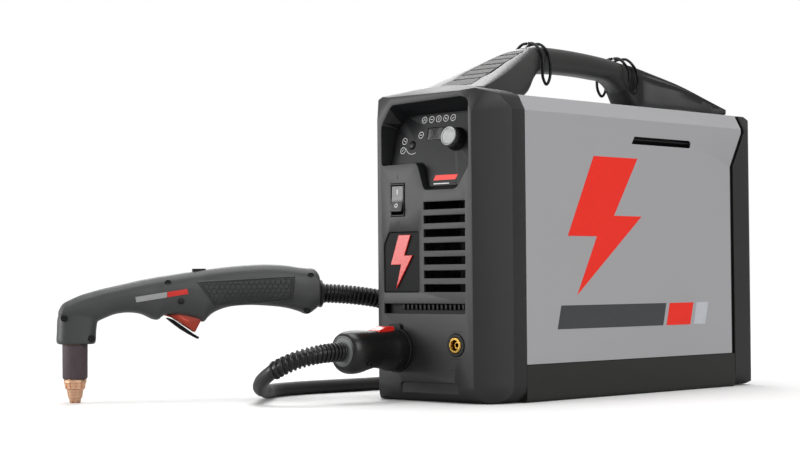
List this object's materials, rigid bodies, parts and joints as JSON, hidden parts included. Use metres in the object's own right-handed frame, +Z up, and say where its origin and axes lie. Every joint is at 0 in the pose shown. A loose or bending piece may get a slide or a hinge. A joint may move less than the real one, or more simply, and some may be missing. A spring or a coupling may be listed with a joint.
{
  "type": "plasma cutter unit",
  "caption": "Portable plasma cutter: boxy power supply with carrying handle, tilted control panel, vent slots and a plugged-in hand torch on a coiled lead.",
  "frame": {"origin": "centre of the flat underside of the power supply, on the floor", "axes": "+Z up, the control face looks to -Y, +X to the right seen from the front"},
  "size_m": [0.3855, 0.7001, 0.3617],
  "materials": {
    "bezel_plastic": "fine textured moulding",
    "dark_plastic": "satin black moulding",
    "panel_film": "matt printed film",
    "display_window": "smoked window",
    "knob_cap": "silver lacquer",
    "handle_plastic": "fine textured moulding",
    "cover_paint": "silver-grey powder coat",
    "red_plastic": "satin red",
    "brass": "machined",
    "copper": "turned copper",
    "core_steel": "plain steel",
    "aluminium": "mill finish",
    "black_wire": "black coated wire",
    "circuit_board": "solder mask",
    "copper_winding": "enamelled wire",
    "torch_plastic": "glass-filled nylon",
    "cap_fibre": "moulded composite",
    "lead_rubber": "satin rubber"
  },
  "bodies": {
    "power_supply": {"front_bezel": "bezel_plastic", "control_panel": "panel_film", "display_window": "display_window", "switch_frame": "dark_plastic", "front_louvre": "dark_plastic", "slot_comb": "dark_plastic", "emblem_plate": "dark_plastic", "emblem_bolt": "red_plastic", "torch_receptacle": "dark_plastic", "work_socket_body": "dark_plastic", "work_socket_contact": "brass", "cover": "cover_paint", "side_louvre_right": "dark_plastic", "side_louvre_left": "dark_plastic", "base_tray": "bezel_plastic", "rear_bezel": "bezel_plastic", "rear_seam_strip": "dark_plastic", "rear_grille": "dark_plastic", "fan_frame": "dark_plastic", "power_cord_gland": "dark_plastic", "gas_inlet_fitting": "brass", "handle": "handle_plastic", "handle_pad": "handle_plastic", "wire_clip_front": "black_wire", "wire_clip_rear": "black_wire", "centre_divider": "aluminium", "power_board": "circuit_board", "heat_sink": "aluminium", "main_transformer": "core_steel", "output_inductor": "copper_winding", "air_filter": "dark_plastic", "gas_valve": "brass", "gas_hose": "lead_rubber"},
    "rocker": {"rocker_switch": "dark_plastic"},
    "knob": {"knob_skirt": "dark_plastic", "knob_cap": "knob_cap"},
    "mode_button": {"mode_button": "dark_plastic"},
    "fan": {"fan_rotor": "dark_plastic"},
    "torch": {"plug_body": "torch_plastic", "plug_strain_relief": "lead_rubber", "lead_from_plug": "lead_rubber", "lead_coil": "lead_rubber", "lead_to_torch": "lead_rubber", "torch_strain_relief": "lead_rubber", "torch_shell_left": "torch_plastic", "torch_shell_right": "torch_plastic", "nozzle": "copper", "electrode": "copper", "swirl_ring": "cap_fibre", "torch_main_body": "brass", "trigger_spring": "core_steel", "start_switch": "dark_plastic", "torch_collar": "lead_rubber"},
    "release_button": {"release_button": "red_plastic"},
    "trigger": {"trigger": "red_plastic"},
    "safety_lever": {"safety_lever": "dark_plastic"},
    "torch_lock": {"torch_lock_slide": "dark_plastic"},
    "retaining_cap": {"retaining_cap": "cap_fibre", "shield": "copper"}
  },
  "joints": [
    {"name": "power_switch", "type": "hinge", "parent": "power_supply", "child": "rocker", "pos_m": [-0.0352, -0.214, 0.1965], "axis": [1, 0, 0], "range_deg": [0, 16]},
    {"name": "knob_turn", "type": "hinge", "parent": "power_supply", "child": "knob", "pos_m": [0.0307, -0.2049, 0.25295], "axis": [0, -0.9785, 0.2062], "continuous": true},
    {"name": "mode_press", "type": "slide", "parent": "power_supply", "child": "mode_button", "axis": [0, 0.9785, -0.2062], "range_m": [0, 0.001], "stiffness_N_per_m": 300},
    {"name": "fan_spin", "type": "hinge", "parent": "power_supply", "child": "fan", "pos_m": [0.02, 0.2, 0.168], "axis": [0, 1, 0], "continuous": true},
    {"name": "torch_unplug", "type": "slide", "parent": "power_supply", "child": "torch", "axis": [0, -1, 0], "range_m": [0, 0.05]},
    {"name": "release_press", "type": "slide", "parent": "torch", "child": "release_button", "axis": [0, 0, -1], "range_m": [0, 0.002], "stiffness_N_per_m": 600},
    {"name": "trigger_pull", "type": "hinge", "parent": "torch", "child": "trigger", "pos_m": [-0.21914, -0.35235, 0.087], "axis": [0.8572, -0.515, 0], "range_deg": [0, 7], "stiffness_Nm_per_rad": 0.6, "springref_deg": -5.73, "deforming": ["trigger_spring"]},
    {"name": "safety_flip", "type": "hinge", "parent": "trigger", "child": "safety_lever", "pos_m": [-0.22171, -0.35664, 0.081], "axis": [-0.8572, 0.515, 0], "range_deg": [0, 25], "stiffness_Nm_per_rad": 0.1, "springref_deg": -17.19},
    {"name": "lock_slide", "type": "slide", "parent": "torch", "child": "torch_lock", "axis": [0.515, 0.8572, 0], "range_m": [0, 0.006]},
    {"name": "cap_unscrew", "type": "hinge", "parent": "torch", "child": "retaining_cap", "pos_m": [-0.26956, -0.43627, 0.04], "axis": [0, 0, 1], "range_deg": [0, 720]}
  ]
}
